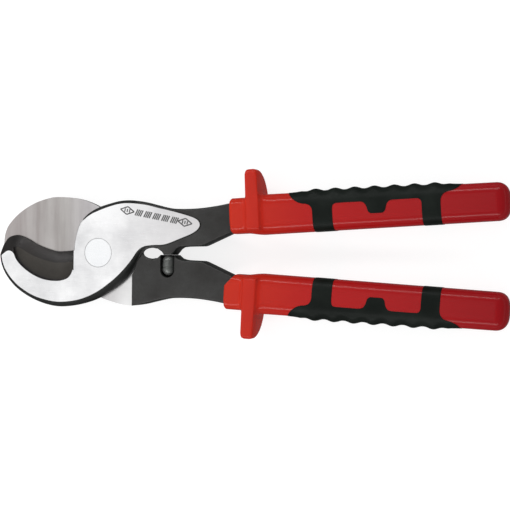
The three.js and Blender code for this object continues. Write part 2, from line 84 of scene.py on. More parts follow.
STOP_X, STOP_R = 35.6, 3.15
STOP_TOP, STOP_LENGTH = 0.75, 10.0
STOP_Z = -(FACE_Z - STOP_R)                        # its crest is level with the ground face
STOP_POCKET_R, STOP_POCKET_END = 3.3, 11.4
STOP_RING = [(0.0, 0.6), (0.22, 0.8), (0.22, 1.25), (0.0, 1.45)]    # depth, place along the pin
LENS_SLANT = 4.1                                   # lean of the opening behind the hub

# The handle's own frame: U along its axis, V outwards across it, the origin beside the guard.
HANDLE_START = Vector((74.5, 18.25, 0.0))
HANDLE_TURN = math.radians(3.14)
COLLAR_U, LONG_COLLAR_U, END_U = -7.4, -9.8, 123.0
COLLAR_HALF, BODY_FRONT, BODY_BACK = 8.5, 9.6, 8.7
COLLAR_DEPTH, BODY_DEPTH = 7.7, 8.2
COLLAR_SQUARE, BODY_SQUARE = 4.2, 3.3              # powers of the sleeve's rounded section
END_ROUND, END_POWER = 6.5, 2.6
MOUTH_ROUND, MOUTH_RUN = 0.7, 1.1                  # how far the mouth is drawn in, and over what length
MIN_HALF = 0.05                                    # the closed end's last section keeps this size
GUARD_V, GUARD_LOW_V, GUARD_DEPTH = 21.4, -7.6, 9.6
GUARD_BOW_V, GUARD_BOW_Z, GUARD_CORNER = 6.0, 5.0, 1.8
GUARD_BACK_CORNER = 4.0
UPPER_GUARD_U, LOWER_GUARD_U = 1.4, 0.0
GRIP_DEPTH, GRIP_PROUD = 1.2, 0.15
WAVE_PITCH, WAVE_COUNT, WAVE_FIRST_U = 9.27, 7, 33.6
WAVE_LOW, WAVE_HIGH = 0.3, 1.3
GRIP_START_U, GRIP_END_U = 21.2, 102.2
BAND_ONE, BAND_TWO = (33.0, 42.4), (83.9, 92.4)
STRIP_V, TONGUE_V, SHOULDER_V = 3.3, -2.4, 9.4     # borders of the soft strip across the handle
CORE_FRONT, CORE_BACK, CORE_DEPTH = 4.4, 3.4, 3.6  # half sizes of the steel core in the handle
LAYER_START, LAYER_END = -7.0, 101.9               # room for the inner layer along the handle
LAYER_FRONT, LAYER_BACK, LAYER_DEPTH = 6.3, 5.3, 5.5
LAYER_ROUND = 2.6
FAR = 60                                           # cutters reach this far past the tool

# ---- Outlines of a half ----------------------------------------------------------------
NOSE_GAP = 0.06                                    # between the front nose and the stop boss
CUTTING_EDGE = [(-15.7, 1), (-20, 0.6), (-25, 0.75), (-33.4, 3.4), (-38.8, 6.3), (-43.6, 8.2),
                (-47, 8.35), (-50.4, 7.1), (-53, 3.9)]
FRONT_JAW_BACK = [(-53.1, 0.5), (-52.3, -6), (-49.4, -12.2), (-44.4, -17.6), (-37, -22.2),
                  (-28.5, -25.5), (-20, -26.6), (-10.5, -25.3)]
REAR_JAW_BACK = [(-53.2, 0), (-52.7, -8.5), (-50, -14.6), (-45.4, -20), (-38.5, -24.3),
                 (-29.5, -26.9), (-20, -27.3), (-10.5, -26)]
HUB_UNDERSIDE = [(-1.2, -22.2), (9.3, -16), (14.5, -11.2), (17.6, -7), (20, -3.4)]
HUB_CORNER = (22.4, -0.1)
LENS_EDGE = [(23.7, 0.12), (24.3, 1.25), (26, 2.2), (28.4, 2.6), (30.4, 2.2)]
TANG_INNER = [(52.2, 3.5), (53.6, 3.9), (68.3, 10.55)]
TANG_OUTER = [(68.3, 24.4), (66, 23.9), (59.7, 22.7), (51, 21.6), (42.2, 21.3), (34.5, 21.9),
              (26.9, 23.6), (21.8, 24.8), (16.6, 25.5), (11, 25.2), (5, 23.8), (-0.5, 22),
              (-5.6, 19), (-9.6, 14.5), (-11.6, 9), (-12.7, 3), (ROOT_X, 1)]
FRONT_NOSE = [(32.6, 0.7), (33.5, NOSE_GAP - STOP_TOP), (37.7, NOSE_GAP - STOP_TOP), (39.9, 2),
              (41.4, 3), (44.2, 3.3)]
REAR_BOSS = [(32, STOP_TOP), (38.8, STOP_TOP), (40.7, 2.4), (42.3, 2.9), (44.2, 3.2)]
GROUND_EDGE = [(-51.6, 0), (-50.6, -6.2), (-47.4, -11.6), (-42.4, -16.6), (-35.2, -20.9),
               (-27.6, -23.3), (-20, -24.2), (-10.4, -23), (-1.6, -19.6), (6.2, -14.4),
               (11.8, -9.5), (16.8, -3.9), (20.4, 1), (23.6, 3.2), (28, 3.9), (34.6, 4.4),
               (42.2, 7.2), (48.6, 9.9), (51.6, 12.6), (51.4, 15.2), (48.4, 17.2), (41, 19.4),
               (33, 21.3), (24.4, 23.2), (16.6, 24), (11, 23.7), (5.4, 22.3), (0.3, 20.5),
               (-4.8, 18.1), (-9.1, 14.2), (-11.2, 8.8), (-12.3, 3)]
# Falling rim round the ground face: distance outwards, drop below the face.
RIM = [(0.0, 0.0), (0.35, 0.22), (0.8, 0.6), (1.3, 1.1), (1.8, 1.75), (2.3, 2.5), (2.9, 3.6),
       (3.5, 5.0), (4.2, 7.0)]
# Cutting bevel: points on the edge and where each reaches the height of the ground face.
BEVEL_EDGE = CUTTING_EDGE[::-1]
BEVEL_FACE = [(-53.6, -3.4), (-49.2, 0.2), (-46.6, 0.4), (-44.8, -1.0), (-42.6, -2.6),
              (-37.2, -5.4), (-26.5, -8.7), (-20.3, -9.0), (-15.7, -8.6)]
EDGE_Z = 0.4                                       # cutting edge above the lap plane
PLATE = 9                                          # half thickness of the plate before trimming
RIM_BRIGHT_X = -8.0                                # the hub's rim is ground bright beyond this
HOLLOW_EDGE = [(-46, 2.5), (-44.2, -2.8), (-41.2, -6.5), (-36.4, -10.1), (-31, -12.7),
               (-25.6, -13.9), (-20, -13.9), (-15.6, -12.3), (-13.3, -8.4), (ROOT_X, -3.4)]


# ---- Curves --------------------------------------------------------------------------------
def spline(knots, steps=8):
    """Points on a smooth curve through the knots."""
    last = len(knots) - 1
    out = []
    for i in range(last):
        near = [knots[max(i - 1, 0)], knots[i], knots[i + 1], knots[min(i + 2, last)]]
        for k in range(steps):
            out.append(tuple(catmull(values, k / steps) for values in zip(*near)))
    out.append(tuple(knots[-1]))
    return out


def catmull(values, t):
    """One coordinate between the middle two of four knots."""
    a, b, c, d = values
    v0, v1 = (c - a) / 2, (d - b) / 2
    return (2 * b - 2 * c + v0 + v1) * t ** 3 + (-3 * b + 3 * c - 2 * v0 - v1) * t ** 2 + v0 * t + b


def smooth(t):
    """An easy rise from 0 to 1."""
    t = min(max(t, 0.0), 1.0)
    return t * t * (3 - 2 * t)


def mix(a, b, t):
    return a + (b - a) * t


def table(stops, x):
    """Value at x on straight lines between (x, value) stops."""
    for (x0, y0), (x1, y1) in zip(stops, stops[1:]):
        if x <= x1:
            return mix(y0, y1, min(max((x - x0) / (x1 - x0), 0.0), 1.0))
    return stops[-1][1]


def arc(centre, radius, first, last, steps):
    """Points on an arc between two angles, ends included."""
    angles = [mix(first, last, k / steps) for k in range(steps + 1)]
    return [(centre[0] + radius * math.cos(a), centre[1] + radius * math.sin(a)) for a in angles]


def clean(loop):
    """The closed loop without doubled points."""
    out = []
    for p in loop:
        if not out or math.dist(p, out[-1]) > 0.02:
            out.append(tuple(p))
    if math.dist(out[0], out[-1]) <= 0.02:
        out.pop()
    return out


def grown(loop, distance):
    """The anticlockwise loop moved outwards by a distance."""
    out = []
    n = len(loop)
    for i, p in enumerate(loop):
        a = (Vector(p) - Vector(loop[i - 1])).normalized()
        b = (Vector(loop[(i + 1) % n]) - Vector(p)).normalized()
        normal = Vector((a.y + b.y, -a.x - b.x)).normalized()
        reach = distance / max(0.6, math.sqrt(max(0.0, (1 + a.dot(b)) / 2)))
        out.append((p[0] + normal.x * reach, p[1] + normal.y * reach))
    return out


# ---- Meshes ---------------------------------------------------------------------------------
def make(name, verts, faces):
    """A linked mesh object with merged points and outward faces."""
    mesh = bpy.data.meshes.new(name)
    mesh.from_pydata([Vector(v) for v in verts], [], faces)
    bm = bmesh.new()
    bm.from_mesh(mesh)
    bmesh.ops.remove_doubles(bm, verts=bm.verts, dist=1e-4)
    bmesh.ops.recalc_face_normals(bm, faces=bm.faces)
    bm.to_mesh(mesh)
    bm.free()
    obj = bpy.data.objects.new(name, mesh)
    bpy.context.collection.objects.link(obj)
    return obj


def lofted(name, rings):
    """A closed solid through rings of equal length, capped at both ends."""
    n = len(rings[0])
    verts = [v for ring in rings for v in ring]
    faces = [tuple(range(n))[::-1]]
    for r in range(len(rings) - 1):
        for i in range(n):
            j = (i + 1) % n
            faces.append((r * n + i, r * n + j, (r + 1) * n + j, (r + 1) * n + i))
    top = (len(rings) - 1) * n
    faces.append(tuple(range(top, top + n)))
    return make(name, verts, faces)


def slab(name, loop, profile):
    """A solid on a loop; profile lists (growth, height) from bottom to top."""
    rings = [[(x, y, z) for x, y in (grown(loop, g) if g else loop)] for g, z in profile]
    return lofted(name, rings)


def prism(name, loop, low, high):
    """A straight-walled solid on a loop."""
    return slab(name, loop, [(0, low), (0, high)])


def turned(name, profile, segments=96):
    """A solid of revolution about Z from (radius, height) pairs, capped at both ends."""
    return lofted(name, [turned_ring(radius, height, segments) for radius, height in profile])


def turned_ring(radius, height, segments):
    """One ring of points; the axis itself gets a hair's radius, so that caps stay flat."""
    r = max(radius, 1e-3)
    angles = [2 * math.pi * k / segments for k in range(segments)]
    return [(r * math.cos(a), r * math.sin(a), height) for a in angles]


def hoop(name, profile, segments=96):
    """A ring about Z from a closed profile of (radius, height) pairs."""
    n = segments
    verts = [v for radius, height in profile for v in turned_ring(radius, height, n)]
    faces = []
    for r in range(len(profile)):
        after = (r + 1) % len(profile)
        for i in range(n):
            j = (i + 1) % n
            faces.append((r * n + i, r * n + j, after * n + j, after * n + i))
    return make(name, verts, faces)


def cut(target, tool, operation="DIFFERENCE"):
    """Joins or cuts with the tool and uses the tool up."""
    modifier = target.modifiers.new("cut", "BOOLEAN")
    modifier.operation = operation
    modifier.object = tool
    modifier.solver = "EXACT"
    graph = bpy.context.evaluated_depsgraph_get()
    result = bpy.data.meshes.new_from_object(target.evaluated_get(graph))
    target.modifiers.clear()
    target.data = result
    bpy.data.objects.remove(tool)
    weld(target, 0.001)
    return target


def weld(obj, distance):
    """Merges points closer than a distance, so that the next cut meets a closed solid."""
    bm = bmesh.new()
    bm.from_mesh(obj.data)
    bmesh.ops.remove_doubles(bm, verts=bm.verts, dist=distance)
    bmesh.ops.dissolve_degenerate(bm, edges=bm.edges, dist=distance / 2)
    bm.to_mesh(obj.data)
    bm.free()


def tidy(obj, sharp=30):
    """Merges split flats and shades smooth except over sharp edges."""
    bm = bmesh.new()
    bm.from_mesh(obj.data)
    bmesh.ops.remove_doubles(bm, verts=bm.verts, dist=0.004)
    bmesh.ops.dissolve_limit(bm, angle_limit=math.radians(0.4), verts=bm.verts, edges=bm.edges)
    bm.to_mesh(obj.data)
    bm.free()
    obj.data.shade_smooth()
    obj.data.set_sharp_from_angle(angle=math.radians(sharp))


def soften(obj, width, segments=2, angle=32):
    """A fine live bevel on the sharp edges."""
    bevel = obj.modifiers.new("edges", "BEVEL")
    bevel.width = width * MM
    bevel.segments = segments
    bevel.limit_method = "ANGLE"
    bevel.angle_limit = math.radians(angle)
    bevel.harden_normals = True
    bevel.use_clamp_overlap = True


def in_handle():
    """Carries the handle's own frame, along U with V outwards, into the half's."""
    return Matrix.Translation(HANDLE_START) @ Matrix.Rotation(HANDLE_TURN, 4, "Z")


def settle(obj, body, node, turn_over=False):
    """Carries a drawn piece to its place in metres and hands it to its body."""
    turn = Matrix.Rotation(math.pi, 4, "X") if turn_over else Matrix.Identity(4)
    obj.data.transform(Matrix.Scale(MM, 4) @ Matrix.Translation((0, 0, MID_Z)) @ turn)
    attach(obj, body)
    if node:
        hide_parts(node)
    return obj


# ---- Materials --------------------------------------------------------------------------------
MIX_FIRST, MIX_SECOND, MIX_RESULT = 6, 7, 2        # colour sockets of the Mix node


def fill_ramp(ramp, stops):
    """Gives a new colour ramp its stops; it comes with two of its own."""
    for k, (at, colour) in enumerate(stops):
        stop = ramp.elements[k] if k < 2 else ramp.elements.new(at)
        stop.position = at
        stop.color = (*colour, 1)


class Nodes:
    """A short way to build a node material."""

    def __init__(self, name):
        self.material = bpy.data.materials.new(name)
        self.material.use_nodes = True
        self.tree = self.material.node_tree
        self.shader = self.tree.nodes["Principled BSDF"]
        self.place = self.add("ShaderNodeTexCoord").outputs["Object"]

    def add(self, kind, **values):
        node = self.tree.nodes.new(kind)
        for key, value in values.items():
            setattr(node, key, value)
        return node

    def link(self, source, target):
        self.tree.links.new(source, target)

    def set(self, **values):
        for key, value in values.items():
            self.shader.inputs[key.replace("_", " ")].default_value = value

    def mapped(self, scale=(1, 1, 1), turn=0.0):
        node = self.add("ShaderNodeMapping")
        node.inputs["Scale"].default_value = scale
        node.inputs["Rotation"].default_value = (0, 0, turn)
        self.link(self.place, node.inputs["Vector"])
        return node.outputs["Vector"]

    def noise(self, scale, detail=3, rough=0.5, vector=None, distortion=0.0):
        node = self.add("ShaderNodeTexNoise")
        node.inputs["Scale"].default_value = scale
        node.inputs["Detail"].default_value = detail
        node.inputs["Roughness"].default_value = rough
        node.inputs["Distortion"].default_value = distortion
        self.link(vector or self.place, node.inputs["Vector"])
        return node.outputs["Fac"]

    def ramp(self, factor, stops):
        node = self.add("ShaderNodeValToRGB")
        fill_ramp(node.color_ramp, stops)
        self.link(factor, node.inputs["Fac"])
        return node.outputs["Color"]

    def range(self, value, low, high, to_low, to_high):
        node = self.add("ShaderNodeMapRange")
        keys = ("From Min", "From Max", "To Min", "To Max")
        for key, number in zip(keys, (low, high, to_low, to_high)):
            node.inputs[key].default_value = number
        self.link(value, node.inputs["Value"])
        return node.outputs["Result"]

    def blend(self, factor, first, second, mode="MIX"):
        """Two colours mixed by a node's value; each colour is a node's or a fixed one."""
        node = self.add("ShaderNodeMix", data_type="RGBA", blend_type=mode)
        self.link(factor, node.inputs["Factor"])
        for place, value in ((MIX_FIRST, first), (MIX_SECOND, second)):
            if isinstance(value, tuple):
                node.inputs[place].default_value = (*value, 1)
            else:
                self.link(value, node.inputs[place])
        return node.outputs[MIX_RESULT]

    def along(self, low, high, to_low=0.0, to_high=1.0):
        """A value that grows along the tool, from jaws to handles, in metres."""
        split = self.add("ShaderNodeSeparateXYZ")
        self.link(self.place, split.inputs[0])
        return self.range(split.outputs["X"], low, high, to_low, to_high)

    def bump(self, height, strength, distance, below=None):
        node = self.add("ShaderNodeBump")
        node.inputs["Strength"].default_value = strength
        node.inputs["Distance"].default_value = distance
        self.link(height, node.inputs["Height"])
        if below is not None:
            self.link(below, node.inputs["Normal"])
        return node.outputs["Normal"]

    def finish(self, colour, roughness, normal):
        self.link(colour, self.shader.inputs["Base Color"])
        self.link(roughness, self.shader.inputs["Roughness"])
        self.link(normal, self.shader.inputs["Normal"])
        return self.material


FAR_STEEL = (0.56, 0.545, 0.55)                    # ground steel towards the handles


def ground_steel(name, dark, light, turn, rough):
    """Ground steel, greyer to the handles: straight grain, faint clouds, a few scratches."""
    m = Nodes(name)
    m.set(Metallic=1.0)
    grain = m.noise(220, 4, 0.7, m.mapped((1, 12, 1), turn))
    clouds = m.noise(42, 5, 0.6)
    scratches = m.noise(140, 2, 0.5, m.mapped((1, 14, 1), turn + 0.5), 0.6)
    base = m.ramp(clouds, [(0.34, dark), (0.62, light)])
    base = m.blend(m.along(0.004, 0.046, 0.0, 0.75), base, FAR_STEEL)
    colour = m.blend(m.range(grain, 0.35, 0.7, 0.0, 0.14), base, dark, "MULTIPLY")
    roughness = m.range(grain, 0.3, 0.7, rough - 0.05, rough + 0.09)
    normal = m.bump(grain, 0.06, 0.0001)
    normal = m.bump(m.range(scratches, 0.66, 0.7, 0, 1), 0.04, 0.00004, normal)
    return m.finish(colour, roughness, normal)


LAP_TONES = [(0.0, (0.33, 0.295, 0.29)), (0.5, (0.35, 0.33, 0.32)), (0.7, (0.45, 0.43, 0.44)),
             (1.0, (0.76, 0.76, 0.76))]            # from the jaw tip to the hub


def lap_steel(name):
    """Sliding faces: greyer towards the jaw tip, with grinding bands across the blade."""
    m = Nodes(name)
    m.set(Metallic=1.0)
    base = m.ramp(m.along(-0.052, 0.012), LAP_TONES)
    bands = m.noise(190, 3, 0.6, m.mapped((1, 0.09, 1), 0.06))
    clouds = m.noise(60, 4, 0.6)
    colour = m.blend(m.range(bands, 0.35, 0.65, 0, 0.2), base, (0.8, 0.79, 0.78))
    colour = m.blend(m.range(clouds, 0.4, 0.7, 0, 0.22), colour, (0.27, 0.255, 0.25))
    grain = m.noise(220, 4, 0.7, m.mapped((12, 1, 1), 0.06))
    roughness = m.range(grain, 0.3, 0.7, 0.3, 0.44)
    return m.finish(colour, roughness, m.bump(grain, 0.08, 0.0001))


def black_steel(name, dark, light, rough=0.42, metal=0.5, gloss=0.5):
    """Black oxide over forged steel: faint scale, pores and rubbed brown-grey patches."""
    m = Nodes(name)
    m.set(Metallic=metal, Specular_IOR_Level=gloss)
    scale = m.noise(70, 5, 0.6)
    pores = m.noise(1400, 3, 0.6)
    colour = m.ramp(scale, [(0.32, dark), (0.7, light)])
    colour = m.blend(m.range(pores, 0.5, 0.75, 0, 0.5), colour, dark)
    roughness = m.range(scale, 0.3, 0.7, rough - 0.06, rough + 0.1)
    normal = m.bump(pores, 0.12, 0.00008)
    normal = m.bump(scale, 0.1, 0.0003, normal)
    return m.finish(colour, roughness, normal)


# Red along the tool: orange-red turning crimson, and darker towards the handle ends as painted shade.
RED_SHADE_RAMP = [(0.0, (0.49, 0.023, 0.009)), (0.35, (0.385, 0.008, 0.008)), (1.0, (0.255, 0.004, 0.007))]


def red_plastic(name):
    """Glossy moulded insulation, orange-red at the guard and a darker crimson towards the handle ends; the
    darkening along the handle is painted shade.
    """
    m = Nodes(name)
    m.set(IOR=1.5, Specular_IOR_Level=0.15)
    body = m.ramp(m.along(0.066, 0.197), RED_SHADE_RAMP)
    mottle = m.noise(60, 3, 0.5)
    colour = m.blend(m.range(mottle, 0.35, 0.7, 0, 0.12), body, (0.3, 0.006, 0.010))
    peel = m.noise(420, 2, 0.5)
    fine = m.noise(2600, 2, 0.5)
    roughness = m.range(mottle, 0.3, 0.7, 0.17, 0.24)
    normal = m.bump(peel, 0.04, 0.0002)
    normal = m.bump(fine, 0.04, 0.00005, normal)
    return m.finish(colour, roughness, normal)


def soft_black(name):
    """Satin thermoplastic rubber with a fine eroded grain."""
    m = Nodes(name)
    m.set(IOR=1.5, Specular_IOR_Level=0.09)
    patches = m.noise(90, 3, 0.5)
    grain = m.noise(1900, 3, 0.6)
    colour = m.ramp(patches, [(0.35, (0.0035, 0.0055, 0.0042)), (0.7, (0.008, 0.011, 0.009))])
    roughness = m.range(grain, 0.3, 0.7, 0.36, 0.5)
    normal = m.bump(grain, 0.2, 0.00008)
    return m.finish(colour, roughness, normal)


def warning_yellow(name):
    """Dull yellow of the first insulating layer."""
    m = Nodes(name)
    patches = m.noise(90, 3, 0.5)
    grain = m.noise(1500, 3, 0.6)
    colour = m.ramp(patches, [(0.35, (0.66, 0.4, 0.03)), (0.7, (0.78, 0.5, 0.05))])
    return m.finish(colour, m.range(grain, 0.3, 0.7, 0.5, 0.65), m.bump(grain, 0.15, 0.0001))


STEEL_FACE = ground_steel("ground_face", (0.66, 0.66, 0.67), (0.87, 0.87, 0.875), 1.2, 0.3)
STEEL_LAP = lap_steel("lap_face")
STEEL_HEAD = ground_steel("bolt_head", (0.79, 0.8, 0.815), (0.86, 0.865, 0.875), 0.3, 0.28)
FORGED = black_steel("forged_black", (0.02, 0.019, 0.018), (0.042, 0.042, 0.041), 0.42, 0.5, 0.4)
# A darker copy of the forged black for the steep walls: painted shade.
WALL_SHADE_BLACK = black_steel("wall_painted_shade", (0.006, 0.007, 0.006), (0.014, 0.015, 0.014), 0.42, 0.2, 0.35)
# A darker copy of the hollow's black for the tilted bevel: painted shade.
BEVEL_SHADE_BLACK = black_steel("bevel_painted_shade", (0.006, 0.005, 0.005), (0.014, 0.011, 0.010), 0.36, 0.3, 0.35)
HOLLOW_BLACK = black_steel("hollow_black", (0.022, 0.019, 0.016), (0.04, 0.036, 0.031), 0.4, 0.5, 0.4)
PIN_BLACK = black_steel("pin_black", (0.075, 0.08, 0.076), (0.18, 0.187, 0.18), 0.38, 0.7)
MARK_GREY = black_steel("etched_grey", (0.05, 0.05, 0.05), (0.12, 0.12, 0.12), 0.5)
RED = red_plastic("red_insulation")
SOFT = soft_black("soft_grip_black")
YELLOW = warning_yellow("inner_layer_yellow")


# ---- Steel half ----------------------------------------------------------------------------------
def half_loop(jaw_back, landing):
    """Plan outline of a half: jaw, hub, opening, landing on the stop, tang."""
    loop = [(ROOT_X, 1)] + spline(CUTTING_EDGE)
    loop += spline([CUTTING_EDGE[-1], *jaw_back, *HUB_UNDERSIDE, HUB_CORNER])
    loop += spline(LENS_EDGE)
    loop += landing + TANG_INNER + spline(TANG_OUTER)
    return clean(loop)


def ground_loop():
    """Plan outline of the ground face; its side above the bevel is cut away later."""
    head = [(ROOT_X + 0.45, 1), (-20, 1), (-40, 6), (-49.4, 5.6)]
    return clean(head[:3] + spline([head[3], *GROUND_EDGE]))


def lap_relief_loop():
    """Where a half is down to one blade's thickness, with room for the other's turning hub."""
    shoulder = arc((0, 0), SWEEP_R, math.atan2(4, 20.2), math.acos(STEP_X / SWEEP_R), 16)
    around = [(STEP_X, FAR), (-90, FAR), (-90, -FAR), (23.1, -FAR), (23.1, 0.2), (20.45, 3.9)]
    return around + shoulder


def bevel_cutter():
    """The room over the cutting bevel: a ruled face from the edge up to the ground face and beyond."""
    edge = spline(BEVEL_EDGE)
    face = spline(BEVEL_FACE)
    start = (Vector(edge[0]) * 1.15, Vector(face[0]) * 1.15)
    edge = [tuple(start[0])] + edge + [(ROOT_X, edge[-1][1])]
    face = [tuple(start[1])] + face + [(ROOT_X, face[-1][1])]
    heights = [EDGE_Z] * (len(edge) - 1) + [EDGE_Z + 1.5]
    low = [(x, y, z) for (x, y), z in zip(edge, heights)]
    ramp = [(x, y, FACE_Z) for x, y in face]
    above = FACE_Z + 6
    top = [(x, y, above) for x, y in face]
    far_top = [(x, FAR - 20, above) for x, _ in edge]
    far_low = [(x, FAR - 20, z) for (x, _), z in zip(edge, heights)]
    sections = [list(s) for s in zip(low, ramp, top, far_top, far_low)]
    return lofted("bevel_cutter", sections)


def wedge(name, outline_xz, half_width):
    """A solid across the tool from an outline seen from its side."""
    rings = [[(x, y, z) for x, z in outline_xz] for y in (-half_width, half_width)]
    return lofted(name, rings)


def tang_envelope(landing):
    """Room for a tang with rounded edges; it turns away before the hub and leaves it whole."""
    outer = [p for p in spline(TANG_OUTER) if p[0] > 20]
    round_hub = [(14, 29), (0, FAR), (-80, FAR), (-80, -FAR), (20, -FAR), (22.8, -6), (23.5, -0.5)]
    loop = [(90, 29.1)] + outer + round_hub
    loop += spline(LENS_EDGE) + landing + TANG_INNER[:2] + [(90, 20.4)]
    edge = [(-0.9, TANG_Z), (-0.45, TANG_Z - 0.12), (-0.12, TANG_Z - 0.42), (0.03, TANG_Z - 0.9)]
    rings = [(g, -z) for g, z in edge] + [(g, z) for g, z in reversed(edge)] + [(-0.9, FACE_Z + 3)]
    return slab("tang_envelope", clean(loop), rings)


def steel_half(name, jaw_back, landing):
    """A plate trimmed by the falling rim and the rounded tang, then ground, bevelled and hollowed."""
    blade = prism(name, half_loop(jaw_back, landing), -PLATE, PLATE)
    rim = slab("rim", ground_loop(), [(g, FACE_Z - d) for g, d in reversed(RIM)])
    deep = prism("under_rim", grown(ground_loop(), RIM[-1][0] + 0.02), -PLATE, FACE_Z - RIM[-1][1] + 0.3)
    cut(rim, deep, "UNION")
    top = TANG_Z - 0.03
    tang_side = [(13, 1.2), (20, 3.9), (24.6, top), (120, top), (120, -PLATE), (13, -PLATE)]
    cut(rim, wedge("tang_room", tang_side, FAR), "UNION")
    cut(blade, rim, "INTERSECT")
    cut(blade, tang_envelope(landing), "INTERSECT")
    cut(blade, prism("relief", lap_relief_loop(), -30, LAP_Z))
    cut(blade, bevel_cutter())
    hollow = clean([(ROOT_X, 2), (-25, 3), (-36, 8)] + spline(HOLLOW_EDGE))
    floor = [(-0.9, HOLLOW_Z), (-0.45, HOLLOW_Z + 0.12), (-0.12, HOLLOW_Z + 0.45), (0, HOLLOW_Z + 1.0)]
    cut(blade, slab("hollow", hollow, floor + [(0, 20)]))
    return blade


def half_finish(c, n):
    """The finish of a steel face from its middle and its direction; by direction it also paints shade, darker
    on the steep walls and on the tilted bevel.
    """
    level, near = abs(n.z) > 0.999, 0.02
    if level and n.z > 0 and abs(c.z - FACE_Z) < near:
        return STEEL_FACE
    if level and n.z < 0 and abs(c.z - LAP_Z) < near:
        return STEEL_LAP
    recessed = in_hollow(c)
    if recessed and c.x < ROOT_X + 0.05 and c.y > -14 and n.z > 0.3 and c.z < FACE_Z - 0.05:
        # Tilted faces of the bevel take the darker copy of the hollow's black: painted shade.
        return HOLLOW_BLACK if c.z >= HOLLOW_Z - 0.05 and n.z > 0.97 else BEVEL_SHADE_BLACK
    if recessed and c.x < ROOT_X + 0.1 and c.z > HOLLOW_Z:
        return HOLLOW_BLACK
    if n.z > 0.1 and c.x < RIM_BRIGHT_X and c.y > 2:
        return STEEL_FACE
    # Steep walls take the darker copy of the forged black: painted shade.
    return WALL_SHADE_BLACK if abs(n.z) < 0.93 else FORGED


def paint_half(obj):
    """Ground faces bright, bevel and hollow dark, the rest forged black; the walls' darker black and the
    bevel's black, darker than the hollow's, are painted shade.
    """
    finishes = [FORGED, STEEL_FACE, STEEL_LAP, BEVEL_SHADE_BLACK, HOLLOW_BLACK, WALL_SHADE_BLACK]
    for material in finishes:
        obj.data.materials.append(material)
    for face in obj.data.polygons:
        face.material_index = finishes.index(half_finish(face.center, face.normal))


def in_hollow(c):
    """Whether a point lies inside the line where the bevel and the hollow meet the ground face."""
    loop = BEVEL_FACE[:3] + HOLLOW_EDGE[1:] + [(ROOT_X, 40), (-60, 40)]
    inside = False
    for (x0, y0), (x1, y1) in zip(loop, loop[1:] + loop[:1]):
        if (y0 > c.y) != (y1 > c.y) and c.x < (x1 - x0) * (c.y - y0) / (y1 - y0) + x0 + 0.3:
            inside = not inside
    return inside


def lens_room(side):
    """The opening behind the hub, leaning towards the jaws as it passes from front to back."""
    upper = [(LENS_EDGE[0][0] - 0.15, 0)] + spline(LENS_EDGE)
    lower = [(x, -y) for x, y in reversed(upper)]
    rings = []
    for z in (-TANG_Z - 1, TANG_Z + 1):
        lean = LENS_SLANT * (side * z / TANG_Z - 1) / 2
        rings.append([(x + lean, y, z) for x, y in clean(lower + upper)])
    return lofted("lens_room", rings)


def bore(obj, radius, low):
    """A round hole on the pivot axis from a height up through the outer face."""
    cut(obj, turned("bore", [(radius, low), (radius, FAR / 3)]))


def build_halves():
    """Both halves: the front with the bolt's head let in, the rear with its nut and its stop."""
    front = steel_half("front_half_steel", FRONT_JAW_BACK, FRONT_NOSE)
    cut(front, lens_room(1))
    bore(front, HEAD_R + 0.06, FACE_Z - HEAD_T - 0.1)
    bore(front, SHANK_R + 0.2, -FAR / 3)
    rear = steel_half("rear_half_steel", REAR_JAW_BACK, REAR_BOSS)
    cut(rear, lens_room(-1))
    bore(rear, NUT_BORE_R, FACE_Z - NUT_BORE_T)
    bore(rear, SHANK_R + 0.2, -FAR / 3)
    cut(rear, stop_pocket())
    for obj, body, node, over in ((front, FRONT, "front_half", False), (rear, REAR, "rear_half", True)):
        cut(obj, steel_core(), "UNION")
        tidy(obj)
        paint_half(obj)
        settle(obj, body, node, over)
        soften(obj, 0.14)


def steel_core():
    """The end of the tang inside the handle."""
    start, end = -7, 100
    loop = [(start, -CORE_FRONT), (end, -CORE_BACK), (end, CORE_BACK), (start, CORE_FRONT)]
    core = prism("core", loop, -CORE_DEPTH, CORE_DEPTH)
    core.data.transform(in_handle())
    return core


def stop_pocket():
    """The room for the stop pin, open at the boss and with a softened lip."""
    end = arc((STOP_X, STOP_POCKET_END - STOP_POCKET_R), STOP_POCKET_R, 0, math.pi, 24)
    loop = [(STOP_X - STOP_POCKET_R, -3), (STOP_X + STOP_POCKET_R, -3)] + end
    floor = STOP_Z + STOP_R + GAP
    lip = [(0.5, -20), (0.5, -TANG_Z - 0.3), (0.15, -TANG_Z + 0.2), (0, -TANG_Z + 0.6)]
    return slab("stop_pocket", loop, lip + [(0, floor - 0.8), (-0.8, floor)])


# ---- Etched mark --------------------------------------------------------------------------------
MARK_START, MARK_TURN = Vector((12.5, 21.0, 0)), math.radians(-10.9)
MARK_STROKES, MARK_GROUP, MARK_PITCH, MARK_FIRST = 24, 5, 0.92, 7.4
STROKE_LEAN, STROKE_HALF, STROKE_WIDTH = 0.45, 1.55, 0.62
LOZENGE_AT, LOZENGE_LONG, LOZENGE_HIGH, LOZENGE_WIDTH = (2.6, 32.6), 3.6, 1.9, 0.6
MARK_LOW, MARK_HIGH = FACE_Z - 0.05, FACE_Z + 0.012


def stroke(start, end, width):
    """A flat bar between two points, as four corners."""
    a, b = Vector(start), Vector(end)
    side = Vector((a.y - b.y, b.x - a.x)).normalized() * width / 2
    return [tuple(a + side), tuple(a - side), tuple(b - side), tuple(b + side)]


def hatching():
    """Slanted strokes in groups of four."""
    bars = []
    for k in range(MARK_STROKES):
        u = MARK_FIRST + k * MARK_PITCH
        if k % MARK_GROUP != MARK_GROUP - 1:
            bars.append(stroke((u - STROKE_LEAN, -STROKE_HALF), (u + STROKE_LEAN, STROKE_HALF), STROKE_WIDTH))
    return bars


